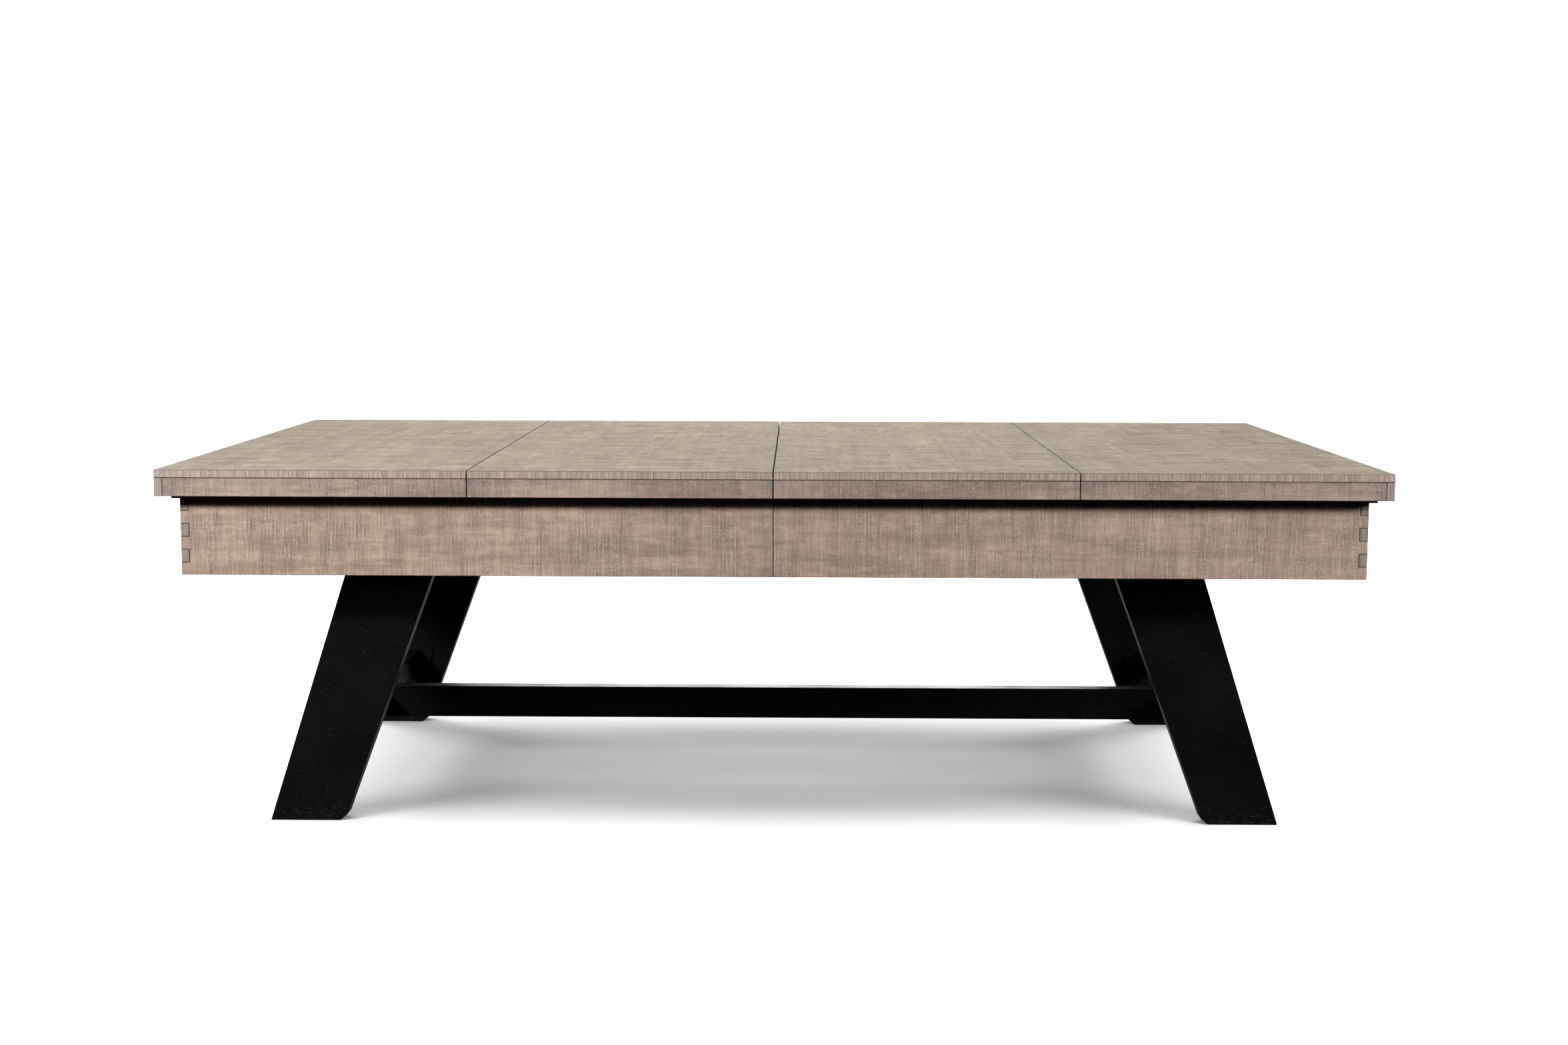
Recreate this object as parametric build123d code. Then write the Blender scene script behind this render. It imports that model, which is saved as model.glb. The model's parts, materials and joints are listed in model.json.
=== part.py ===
from build123d import *
import os
from math import atan2, degrees, hypot

# Eight-foot pool table that a four-section dining top covers. Sizes are in millimetres.
# The origin is on the floor under the middle of the table: +X runs along the length towards
# the right-hand end, +Z is up, and the front is the -Y side.

# Dining top: four sections side by side along X
TOP_LENGTH = 2624
TOP_WIDTH = 1506
TOP_HEIGHT = 812
BOARD_THICKNESS = 17
SKIRT_HEIGHT = 40
SKIRT_THICKNESS = 18
MIDDLE_SECTION_LENGTH = 649
SEAM_GAP = 2
FELT_THICKNESS = 3
FELT_WIDTH = 32
FELT_FROM_RAIL_EDGE = 9
END_FELT_INSET = 140
BATTEN_WIDTH = 60
BATTEN_THICKNESS = 20
BATTEN_SPACING = 380
BATTEN_END_GAP = 24

# Cabinet: six finger-jointed boards round the bed
CABINET_LENGTH = 2540
CABINET_WIDTH = 1422
APRON_THICKNESS = 18
APRON_BOTTOM = 581
APRON_HEIGHT = 167
FINGER_COUNT = 6
CORNER_BLOCK_SIZE = 50
CORNER_BLOCK_GAP = 3

# Rails, cushions and bed
PLAY_LENGTH = 2236
PLAY_WIDTH = 1118
RAIL_OVERHANG = 14
RAIL_EDGE_RADIUS = 6
CUSHION_DEPTH = 53
NOSE_HEIGHT = 36
SLATE_LENGTH = 2438
SLATE_WIDTH = 1320
SLATE_THICKNESS = 25
SLATE_GAP = 0.5
CENTRE_SLATE_LENGTH = 812
CLOTH_THICKNESS = 1
CLOTH_INSET = 5

# Pockets
POCKET_RADIUS = 60
POCKET_CLEARANCE = 0.3
POCKET_WALL = 3.5
POCKET_BOTTOM = 612
CORNER_POCKET_X = 1145
CORNER_POCKET_Y = 586
SIDE_POCKET_Y = 622
CORNER_NOSE_GAP = 85.5
CORNER_BACK_GAP = 79
SIDE_NOSE_GAP = 66.5
SIDE_BACK_GAP = 58.5

# Sights: lozenge inlays an eighth of the playing length apart
SIGHT_SPACING = PLAY_LENGTH / 8
SIGHT_FROM_NOSE = 94
SIGHT_LENGTH = 15
SIGHT_WIDTH = 9
SIGHT_DEPTH = 2

# Timber frame under the slate
LONG_BEAM_Y = 525
LONG_BEAM_WIDTH = 60
LONG_BEAM_BOTTOM = 600
LONG_BEAM_HALF_LENGTH = 1080
CROSS_BEAM_WIDTH = 60
CROSS_BEAM_HEIGHT = 50
CROSS_BEAM_X = (406, 740, 1045)
LEDGER_INNER_X = 1204
LEDGER_HALF_WIDTH = 500

# Steel base: leaning tapered legs, cross members and one long stretcher
LEG_FOOT_OUTER = 1133
LEG_FOOT_INNER = 966.5
LEG_OUTER_LEAN = 0.319
LEG_INNER_LEAN = 0.3714
LEG_DEPTH = 50
LEG_FRONT_Y = 550
LEG_WALL = 3
FOOT_CHAMFER_WIDTH = 10.5
FOOT_CHAMFER_HEIGHT = 12
PLATE_THICKNESS = 8
PLATE_MARGIN = 46
PLATE_WIDTH = 64
PLATE_BOLT_MARGIN = 22
PLATE_BOLT_SPACING = 28
DRAIN_RADIUS = 10
CROSS_TUBE_SIZE = 50
CROSS_TUBE_WALL = 3
CROSS_TUBE_X = 1006
CROSS_TUBE_TOP = 203
FLANGE_WIDTH = 100
FLANGE_HEIGHT = 90
FLANGE_THICKNESS = 6
FLANGE_Z = 172
FLANGE_BOLT_OFFSET = 39
STRETCHER_DEPTH = 40
STRETCHER_HEIGHT = 77
STRETCHER_WALL = 2.5
END_PLATE_WIDTH = 90
END_PLATE_BOLT_OFFSET = 33

# Fasteners
BOLT_RADIUS = 4
BOLT_HOLE_RADIUS = 4.2
BOLT_HEAD_FLATS = 13
BOLT_HEAD_HEIGHT = 5.3
PLATE_BOLT_LENGTH = 48
FLANGE_BOLT_LENGTH = 14
RAIL_BOLT_RADIUS = 5
RAIL_BOLT_HOLE_RADIUS = 5.2
RAIL_BOLT_SLOT_RADIUS = 7
RAIL_BOLT_WASHER_RADIUS = 10
RAIL_BOLT_WASHER_THICKNESS = 2
RAIL_BOLT_REACH = 28
RAIL_BOLT_INSET = 24
END_RAIL_BOLT_INSET = 19
SIDE_RAIL_BOLT_X = (200, 573, 900)
END_RAIL_BOLT_Y = (-280, 0, 280)
SCREW_RADIUS = 2.5
SCREW_HOLE_RADIUS = 2.7
SCREW_HEAD_RADIUS = 6
SCREW_HEAD_HEIGHT = 5
SCREW_LENGTH = 50
SCREW_JOINT_OFFSET = 16
SCREW_Y = (-420, 0, 420)

# Levels and faces that follow from the sizes above
BOARD_BOTTOM = TOP_HEIGHT - BOARD_THICKNESS
SKIRT_BOTTOM = BOARD_BOTTOM - SKIRT_HEIGHT
RAIL_TOP = BOARD_BOTTOM - FELT_THICKNESS
BED_TOP = APRON_BOTTOM + APRON_HEIGHT
SLATE_TOP = BED_TOP - CLOTH_THICKNESS
SLATE_BOTTOM = SLATE_TOP - SLATE_THICKNESS
CROSS_BEAM_BOTTOM = SLATE_BOTTOM - CROSS_BEAM_HEIGHT
RAIL_X = CABINET_LENGTH / 2 + RAIL_OVERHANG
RAIL_Y = CABINET_WIDTH / 2 + RAIL_OVERHANG
NOSE_X = PLAY_LENGTH / 2
NOSE_Y = PLAY_WIDTH / 2
WOOD_X = NOSE_X + CUSHION_DEPTH
WOOD_Y = NOSE_Y + CUSHION_DEPTH
INSIDE_X = CABINET_LENGTH / 2 - APRON_THICKNESS
INSIDE_Y = CABINET_WIDTH / 2 - APRON_THICKNESS
LEG_TOP = LONG_BEAM_BOTTOM - PLATE_THICKNESS
LEG_BACK_Y = LEG_FRONT_Y - LEG_DEPTH
CROSS_TUBE_Z = CROSS_TUBE_TOP - CROSS_TUBE_SIZE / 2
STRETCHER_END_X = CROSS_TUBE_X - CROSS_TUBE_SIZE / 2
STRETCHER_Z = CROSS_TUBE_TOP - STRETCHER_HEIGHT / 2
FLANGE_TILT = degrees(atan2(LEG_OUTER_LEAN + LEG_INNER_LEAN, 2))

# The four quarters and the two ends and sides of the table, as signs of X and Y
ENDS = {"left": -1, "right": 1}
SIDES = {"front": -1, "rear": 1}


def block(x0, x1, y0, y1, z0, z1):
    """A rectangular block between two corners."""
    middle = ((x0 + x1) / 2, (y0 + y1) / 2, (z0 + z1) / 2)
    return Pos(*middle) * Box(abs(x1 - x0), abs(y1 - y0), abs(z1 - z0))


def prism(points, z0, z1):
    """A plan outline pulled up from one level to another."""
    return Pos(0, 0, z0) * extrude(Polygon(*points, align=None), z1 - z0, dir=(0, 0, 1))


def rod(x, y, radius, z0, z1):
    """A round upright rod, also used to cut holes."""
    return Pos(x, y, (z0 + z1) / 2) * Cylinder(radius, z1 - z0)


def placed(shape, end, side):
    """A shape of the right rear quarter, mirrored to the quarter that the signs name."""
    if end < 0:
        shape = mirror(shape, about=Plane.YZ)
    if side < 0:
        shape = mirror(shape, about=Plane.XZ)
    return shape


def four_quarters(shape):
    """Copies of a right rear shape in all four quarters."""
    return [placed(shape, end, side) for end in ENDS.values() for side in SIDES.values()]


def save(name, *solids):
    """Write one node: a single solid, or a group of separate solids."""
    shape = solids[0] if len(solids) == 1 else Compound(children=list(solids))
    export_step(shape, f"parts/{name}.step")


def hex_bolt(length):
    """A hexagon bolt whose head sits on the local XY plane and whose shank points down."""
    head = extrude(RegularPolygon(BOLT_HEAD_FLATS / 2, 6, major_radius=False), BOLT_HEAD_HEIGHT)
    shank = Pos(0, 0, -length / 2) * Cylinder(BOLT_RADIUS, length)
    return head + shank


# Dining top ------------------------------------------------------------------------------


def section_span(number):
    """The X range of a dining section, counted from the left end."""
    edges = [-TOP_LENGTH / 2, -MIDDLE_SECTION_LENGTH, 0, MIDDLE_SECTION_LENGTH, TOP_LENGTH / 2]
    low, high = edges[number - 1], edges[number]
    if number > 1:
        low += SEAM_GAP / 2
    if number < 4:
        high -= SEAM_GAP / 2
    return low, high


def section_end(number):
    """-1 or 1 for a section at an end of the table, 0 for a middle one."""
    return {1: -1, 4: 1}.get(number, 0)


def section_side_skirts(number):
    """The front and rear skirt boards of a section, which butt against any end skirt."""
    low, high = section_span(number)
    if section_end(number) < 0:
        low += SKIRT_THICKNESS
    if section_end(number) > 0:
        high -= SKIRT_THICKNESS
    outer = TOP_WIDTH / 2
    return [
        block(low, high, side * (outer - SKIRT_THICKNESS), side * outer, SKIRT_BOTTOM, BOARD_BOTTOM)
        for side in SIDES.values()
    ]


def section_end_skirt(end):
    """The skirt board across an end, as long as the table is wide."""
    outer = end * TOP_LENGTH / 2
    inner = outer - end * SKIRT_THICKNESS
    return block(inner, outer, -TOP_WIDTH / 2, TOP_WIDTH / 2, SKIRT_BOTTOM, BOARD_BOTTOM)


def section_battens(number):
    """Three battens across the planks, hanging into the space between the cushions."""
    low, high = section_span(number)
    low = max(low, -NOSE_X) + BATTEN_END_GAP
    high = min(high, NOSE_X) - BATTEN_END_GAP
    return [
        block(
            low,
            high,
            y - BATTEN_WIDTH / 2,
            y + BATTEN_WIDTH / 2,
            BOARD_BOTTOM - BATTEN_THICKNESS,
            BOARD_BOTTOM,
        )
        for y in (-BATTEN_SPACING, 0, BATTEN_SPACING)
    ]


def section_felts(number):
    """Felt strips that rest on the rail tops."""
    low, high = section_span(number)
    low = max(low, -RAIL_X + END_FELT_INSET) + BATTEN_END_GAP
    high = min(high, RAIL_X - END_FELT_INSET) - BATTEN_END_GAP
    outer = RAIL_Y - FELT_FROM_RAIL_EDGE
    strips = [
        block(low, high, side * (outer - FELT_WIDTH), side * outer, RAIL_TOP, BOARD_BOTTOM)
        for side in SIDES.values()
    ]
    end = section_end(number)
    if end:
        outer_x = end * (RAIL_X - FELT_FROM_RAIL_EDGE)
        half = RAIL_Y - END_FELT_INSET
        strips.append(block(outer_x - end * FELT_WIDTH, outer_x, -half, half, RAIL_TOP, BOARD_BOTTOM))
    return strips


def make_dining_top():
    for number in range(1, 5):
        low, high = section_span(number)
        half = TOP_WIDTH / 2
        save(f"section_{number}_board", block(low, high, -half, half, BOARD_BOTTOM, TOP_HEIGHT))
        save(f"section_{number}_side_skirts", *section_side_skirts(number))
        save(f"section_{number}_battens", *section_battens(number))
        save(f"section_{number}_felts", *section_felts(number))
        if section_end(number):
            save(f"section_{number}_end_skirt", section_end_skirt(section_end(number)))


# Cabinet ---------------------------------------------------------------------------------


def finger_levels(first):
    """The bottom and top of every second finger, starting with the given one."""
    height = APRON_HEIGHT / FINGER_COUNT
    for index in range(first, FINGER_COUNT, 2):
        yield APRON_BOTTOM + index * height, APRON_BOTTOM + (index + 1) * height


def side_apron():
    """Half of the rear side of the cabinet, with fingers at its right-hand end."""
    outer_x, outer_y = CABINET_LENGTH / 2, CABINET_WIDTH / 2
    board = block(0, INSIDE_X, INSIDE_Y, outer_y, APRON_BOTTOM, BED_TOP)
    for low, high in finger_levels(0):
        board += block(INSIDE_X, outer_x, INSIDE_Y, outer_y, low, high)
    return board


def end_apron():
    """The right-hand end of the cabinet, with fingers at both ends."""
    outer_x, outer_y = CABINET_LENGTH / 2, CABINET_WIDTH / 2
    board = block(INSIDE_X, outer_x, -INSIDE_Y, INSIDE_Y, APRON_BOTTOM, BED_TOP)
    for low, high in finger_levels(1):
        board += block(INSIDE_X, outer_x, -outer_y, outer_y, low, high)
    return board


def corner_block():
    """A post glued into the right rear corner of the cabinet."""
    return block(
        INSIDE_X - CORNER_BLOCK_SIZE,
        INSIDE_X,
        INSIDE_Y - CORNER_BLOCK_SIZE,
        INSIDE_Y,
        APRON_BOTTOM + CORNER_BLOCK_GAP,
        BED_TOP - CORNER_BLOCK_GAP,
    )


def make_cabinet():
    for end_name, end in ENDS.items():
        for side_name, side in SIDES.items():
            save(f"apron_{side_name}_{end_name}", placed(side_apron(), end, side))
        save(f"apron_end_{end_name}", placed(end_apron(), end, 1))
    save("corner_blocks", *four_quarters(corner_block()))


# Bed frame -------------------------------------------------------------------------------


def screw_places():
    """Where screws hold the slates down: over the cross beams, two rows at each slate joint."""
    joint_x, middle_x, outer_x = CROSS_BEAM_X
    rows = (joint_x - SCREW_JOINT_OFFSET, joint_x + SCREW_JOINT_OFFSET, middle_x, outer_x)
    return [(end * x, y) for end in ENDS.values() for x in rows for y in SCREW_Y]


def plate_bolt_places():
    """Bolts through the mounting plate of the right rear leg, clear of the leg itself."""
    inner = leg_inner_x(LEG_TOP) - PLATE_MARGIN + PLATE_BOLT_MARGIN
    outer = leg_outer_x(LEG_TOP) + PLATE_MARGIN - PLATE_BOLT_MARGIN
    half = PLATE_BOLT_SPACING / 2
    return [(x, LONG_BEAM_Y + y) for x in (inner, outer) for y in (-half, half)]


def long_beam():
    """The rear beam on top of the legs, with holes for their bolts."""
    half = LONG_BEAM_WIDTH / 2
    beam = block(
        -LONG_BEAM_HALF_LENGTH,
        LONG_BEAM_HALF_LENGTH,
        LONG_BEAM_Y - half,
        LONG_BEAM_Y + half,
        LONG_BEAM_BOTTOM,
        CROSS_BEAM_BOTTOM,
    )
    depth = LONG_BEAM_BOTTOM + PLATE_BOLT_LENGTH
    for x, y in plate_bolt_places():
        for end in ENDS.values():
            beam -= rod(end * x, y, BOLT_HOLE_RADIUS, LONG_BEAM_BOTTOM, depth)
    return beam


def cross_beam(x):
    """One cross beam with pilot holes for the slate screws above it."""
    half = CROSS_BEAM_WIDTH / 2
    beam = block(x - half, x + half, -INSIDE_Y, INSIDE_Y, CROSS_BEAM_BOTTOM, SLATE_BOTTOM)
    for screw_x, screw_y in screw_places():
        if abs(screw_x - x) < half:
            pilot_end = SLATE_TOP - SCREW_LENGTH - 1
            beam -= rod(screw_x, screw_y, SCREW_HOLE_RADIUS, pilot_end, SLATE_BOTTOM)
    return beam


def end_ledger(end):
    """A ledger on the end apron that carries the slate's outer edge."""
    return block(
        end * LEDGER_INNER_X,
        end * INSIDE_X,
        -LEDGER_HALF_WIDTH,
        LEDGER_HALF_WIDTH,
        CROSS_BEAM_BOTTOM,
        SLATE_BOTTOM,
    )


def make_bed_frame():
    save("long_beams", long_beam(), placed(long_beam(), 1, -1))
    beams = [cross_beam(end * x) for end in ENDS.values() for x in CROSS_BEAM_X]
    save("cross_beams", *beams, end_ledger(-1), end_ledger(1))


# Slates, cloth and rails -----------------------------------------------------------------


def rail_bolt_places():
    """Where bolts come up through the slates into the six rails."""
    side_y = WOOD_Y + RAIL_BOLT_INSET
    end_x = WOOD_X + END_RAIL_BOLT_INSET
    places = [
        (end * x, side * side_y)
        for end in ENDS.values()
        for side in SIDES.values()
        for x in SIDE_RAIL_BOLT_X
    ]
    return places + [(end * end_x, y) for end in ENDS.values() for y in END_RAIL_BOLT_Y]


def pocket_cutouts(radius, z0, z1):
    """The openings of all six pockets, open to the bed's outside edges."""
    corner = rod(CORNER_POCKET_X, CORNER_POCKET_Y, radius, z0, z1)
    corner += block(CORNER_POCKET_X, RAIL_X, CORNER_POCKET_Y, RAIL_Y, z0, z1)
    side = rod(0, SIDE_POCKET_Y, radius, z0, z1)
    side += block(-radius, radius, SIDE_POCKET_Y, RAIL_Y, z0, z1)
    return four_quarters(corner) + [side, placed(side, 1, -1)]


def slate(low, high):
    """One slate slab with its pocket notches, bolt holes and countersunk screw holes."""
    half = SLATE_WIDTH / 2
    slab = block(low, high, -half, half, SLATE_BOTTOM, SLATE_TOP)
    for cutout in pocket_cutouts(POCKET_RADIUS, SLATE_BOTTOM, SLATE_TOP):
        slab -= cutout
    for x, y in rail_bolt_places():
        if low < x < high:
            slab -= rod(x, y, RAIL_BOLT_SLOT_RADIUS, SLATE_BOTTOM, SLATE_TOP)
    for x, y in screw_places():
        if low < x < high:
            slab -= Pos(x, y, SLATE_TOP) * screw_body(SCREW_HOLE_RADIUS)
    return slab


def screw_body(radius):
    """A countersunk screw, or the hole for one, hanging down from the local XY plane."""
    head = Pos(0, 0, -SCREW_HEAD_HEIGHT / 2) * Cone(radius, SCREW_HEAD_RADIUS, SCREW_HEAD_HEIGHT)
    return head + Pos(0, 0, -SCREW_LENGTH / 2) * Cylinder(radius, SCREW_LENGTH)


def bed_cloth():
    """The cloth stretched over the slates and held under the rails."""
    half_x = SLATE_LENGTH / 2 - CLOTH_INSET
    half_y = SLATE_WIDTH / 2 - CLOTH_INSET
    cloth = block(-half_x, half_x, -half_y, half_y, SLATE_TOP, BED_TOP)
    for cutout in pocket_cutouts(POCKET_RADIUS, SLATE_TOP, BED_TOP):
        cloth -= cutout
    for x, y in rail_bolt_places():
        cloth -= rod(x, y, RAIL_BOLT_SLOT_RADIUS, SLATE_TOP, BED_TOP)
    return cloth


def sight_places():
    """The middles of the eighteen sights."""
    side_y = NOSE_Y + SIGHT_FROM_NOSE
    end_x = NOSE_X + SIGHT_FROM_NOSE
    places = [
        (end * step * SIGHT_SPACING, side * side_y)
        for end in ENDS.values()
        for side in SIDES.values()
        for step in (1, 2, 3)
    ]
    return places + [(end * end_x, step * SIGHT_SPACING) for end in ENDS.values() for step in (-1, 0, 1)]


def sight(x, y):
    """A lozenge inlay with its long diagonal across the rail."""
    across_x = abs(x) > NOSE_X
    half_x = (SIGHT_LENGTH if across_x else SIGHT_WIDTH) / 2
    half_y = (SIGHT_WIDTH if across_x else SIGHT_LENGTH) / 2
    outline = [(x - half_x, y), (x, y - half_y), (x + half_x, y), (x, y + half_y)]
    return prism(outline, RAIL_TOP - SIGHT_DEPTH, RAIL_TOP)


def fit_out(rail):
    """A rail blank with its pocket hollows, bolt holes and sight recesses cut."""
    for x, y in (
        (CORNER_POCKET_X, CORNER_POCKET_Y),
        (CORNER_POCKET_X, -CORNER_POCKET_Y),
        (0, SIDE_POCKET_Y),
    ):
        rail -= rod(x, y, POCKET_RADIUS, BED_TOP, RAIL_TOP)
    box = rail.bounding_box()
    for x, y in rail_bolt_places():
        if box.min.X < x < box.max.X and box.min.Y < y < box.max.Y:
            rail -= rod(x, y, RAIL_BOLT_HOLE_RADIUS, BED_TOP, BED_TOP + RAIL_BOLT_REACH)
    for x, y in sight_places():
        if box.min.X < x < box.max.X and box.min.Y < y < box.max.Y:
            rail -= sight(x, y)
    return rail


def side_rail():
    """The right half of the rear rail, mitred at the corner."""
    outline = [(0, WOOD_Y), (WOOD_X, WOOD_Y), (RAIL_X, RAIL_Y), (0, RAIL_Y)]
    blank = prism(outline, BED_TOP, RAIL_TOP)
    top_edge = blank.edges().filter_by(Axis.X).sort_by(Axis.Z)[-2:].sort_by(Axis.Y)[-1]
    return fit_out(fillet(top_edge, RAIL_EDGE_RADIUS))


def end_rail():
    """The right-hand end rail, mitred at both corners."""
    outline = [(WOOD_X, -WOOD_Y), (RAIL_X, -RAIL_Y), (RAIL_X, RAIL_Y), (WOOD_X, WOOD_Y)]
    blank = prism(outline, BED_TOP, RAIL_TOP)
    top_edge = blank.edges().filter_by(Axis.Y).sort_by(Axis.Z)[-2:].sort_by(Axis.X)[-1]
    return fit_out(fillet(top_edge, RAIL_EDGE_RADIUS))


def cushion_section():
    """The cushion's cross-section: distance in from the rail's wood, then height above the bed."""
    top = RAIL_TOP - BED_TOP
    return [
        (0, 9),
        (14, 9),
        (CUSHION_DEPTH - 4, NOSE_HEIGHT - 4),
        (CUSHION_DEPTH, NOSE_HEIGHT),
        (CUSHION_DEPTH - 2, NOSE_HEIGHT + 3.5),
        (CUSHION_DEPTH - 6, top - 3),
        (0, top - 1),
    ]


def side_cushion():
    """The rear cushion between the side pocket and the right-hand corner pocket."""
    section = [(WOOD_Y - depth, BED_TOP + height) for depth, height in cushion_section()]
    strip = extrude(Plane.YZ * Polygon(*section, align=None), NOSE_X, both=True)
    plan = [
        (SIDE_NOSE_GAP, NOSE_Y),
        (NOSE_X - CORNER_NOSE_GAP, NOSE_Y),
        (WOOD_X - CORNER_BACK_GAP, WOOD_Y),
        (SIDE_BACK_GAP, WOOD_Y),
    ]
    return strip & prism(plan, BED_TOP, RAIL_TOP)


def end_cushion():
    """The cushion across the right-hand end."""
    section = [(WOOD_X - depth, BED_TOP + height) for depth, height in cushion_section()]
    strip = extrude(Plane.XZ * Polygon(*section, align=None), NOSE_Y, both=True)
    plan = [
        (NOSE_X, CORNER_NOSE_GAP - NOSE_Y),
        (WOOD_X, CORNER_BACK_GAP - WOOD_Y),
        (WOOD_X, WOOD_Y - CORNER_BACK_GAP),
        (NOSE_X, NOSE_Y - CORNER_NOSE_GAP),
    ]
    return strip & prism(plan, BED_TOP, RAIL_TOP)


def rail_bolt(x, y):
    """A bolt with its washer, up through a slate into a rail."""
    washer_bottom = SLATE_BOTTOM - RAIL_BOLT_WASHER_THICKNESS
    washer = rod(x, y, RAIL_BOLT_WASHER_RADIUS, washer_bottom, SLATE_BOTTOM)
    shank = rod(x, y, RAIL_BOLT_RADIUS, SLATE_BOTTOM, BED_TOP + RAIL_BOLT_REACH - 1)
    head = Pos(x, y, washer_bottom - BOLT_HEAD_HEIGHT) * extrude(
        RegularPolygon(BOLT_HEAD_FLATS / 2 + 1, 6, major_radius=False), BOLT_HEAD_HEIGHT
    )
    return washer + shank + head


def make_bed_and_rails():
    joint = CENTRE_SLATE_LENGTH / 2
    gap = SLATE_GAP / 2
    save("slate_left", slate(-SLATE_LENGTH / 2, -joint - gap))
    save("slate_centre", slate(-joint + gap, joint - gap))
    save("slate_right", slate(joint + gap, SLATE_LENGTH / 2))
    save("slate_screws", *[Pos(x, y, SLATE_TOP) * screw_body(SCREW_RADIUS) for x, y in screw_places()])
    save("bed_cloth", bed_cloth())
    for end_name, end in ENDS.items():
        for side_name, side in SIDES.items():
            save(f"rail_{side_name}_{end_name}", placed(side_rail(), end, side))
            save(f"cushion_{side_name}_{end_name}", placed(side_cushion(), end, side))
        save(f"rail_end_{end_name}", placed(end_rail(), end, 1))
        save(f"cushion_end_{end_name}", placed(end_cushion(), end, 1))
    save("rail_sights", *[sight(x, y) for x, y in sight_places()])
    save("rail_bolts", *[rail_bolt(x, y) for x, y in rail_bolt_places()])


# Pockets ---------------------------------------------------------------------------------


def pocket_cup(x, y):
    """A moulded cup: a full round below the bed, and a collar in the rail's hollow above it."""
    outer = POCKET_RADIUS - POCKET_CLEARANCE
    inner = outer - POCKET_WALL
    rim = RAIL_TOP - 2
    cup = rod(x, y, outer, POCKET_BOTTOM, rim)
    cup -= rod(x, y, inner, POCKET_BOTTOM + POCKET_WALL, rim)
    mouth_bottom = SLATE_TOP - 2
    mouth = block(-WOOD_X, WOOD_X, 0, WOOD_Y, mouth_bottom, rim)
    return cup - mouth


def make_pockets():
    corner = pocket_cup(CORNER_POCKET_X, CORNER_POCKET_Y)
    middle = pocket_cup(0, SIDE_POCKET_Y)
    for side_name, side in SIDES.items():
        for end_name, end in ENDS.items():
            save(f"pocket_{side_name}_{end_name}", placed(corner, end, side))
        save(f"pocket_{side_name}_middle", placed(middle, 1, side))


# Steel base ------------------------------------------------------------------------------


def leg_outer_x(z):
    return LEG_FOOT_OUTER - LEG_OUTER_LEAN * z


def leg_inner_x(z):
    return LEG_FOOT_INNER - LEG_INNER_LEAN * z


def leg_outline():
    """The leg seen from the front, with the chamfer on its inner foot corner."""
    return Polygon(
        (LEG_FOOT_INNER + FOOT_CHAMFER_WIDTH, 0),
        (LEG_FOOT_OUTER, 0),
        (leg_outer_x(LEG_TOP), LEG_TOP),
        (leg_inner_x(LEG_TOP), LEG_TOP),
        (leg_inner_x(FOOT_CHAMFER_HEIGHT), FOOT_CHAMFER_HEIGHT),
        align=None,
    )


def flange_bolt_places():
    """The X and Z of the two bolts that hold a flange to a right-hand leg."""
    centre = Pos(CROSS_TUBE_X, FLANGE_Z) * Rot(0, 0, FLANGE_TILT)
    places = [centre * Pos(offset, 0) for offset in (-FLANGE_BOLT_OFFSET, FLANGE_BOLT_OFFSET)]
    return [(place.position.X, place.position.Y) for place in places]


def leg():
    """The right rear leg: a welded box of sheet steel with a mounting plate on top."""
    outline = leg_outline()
    cavity = offset(outline, amount=-LEG_WALL, kind=Kind.INTERSECTION)
    body = extrude(Plane.XZ.offset(-LEG_FRONT_Y) * outline, LEG_DEPTH)
    body -= extrude(Plane.XZ.offset(LEG_WALL - LEG_FRONT_Y) * cavity, LEG_DEPTH - 2 * LEG_WALL)
    inner, outer = leg_inner_x(LEG_TOP), leg_outer_x(LEG_TOP)
    half = PLATE_WIDTH / 2
    body += block(
        inner - PLATE_MARGIN,
        outer + PLATE_MARGIN,
        LONG_BEAM_Y - half,
        LONG_BEAM_Y + half,
        LEG_TOP,
        LONG_BEAM_BOTTOM,
    )
    body -= rod((inner + outer) / 2, LONG_BEAM_Y, DRAIN_RADIUS, LEG_TOP - 2 * LEG_WALL, LONG_BEAM_BOTTOM)
    for x, y in plate_bolt_places():
        body -= rod(x, y, BOLT_HOLE_RADIUS, LEG_TOP, LONG_BEAM_BOTTOM)
    for x, z in flange_bolt_places():
        body -= Pos(x, LEG_BACK_Y + LEG_WALL / 2, z) * Rot(90, 0, 0) * Cylinder(BOLT_HOLE_RADIUS, LEG_WALL)
    return body


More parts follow.
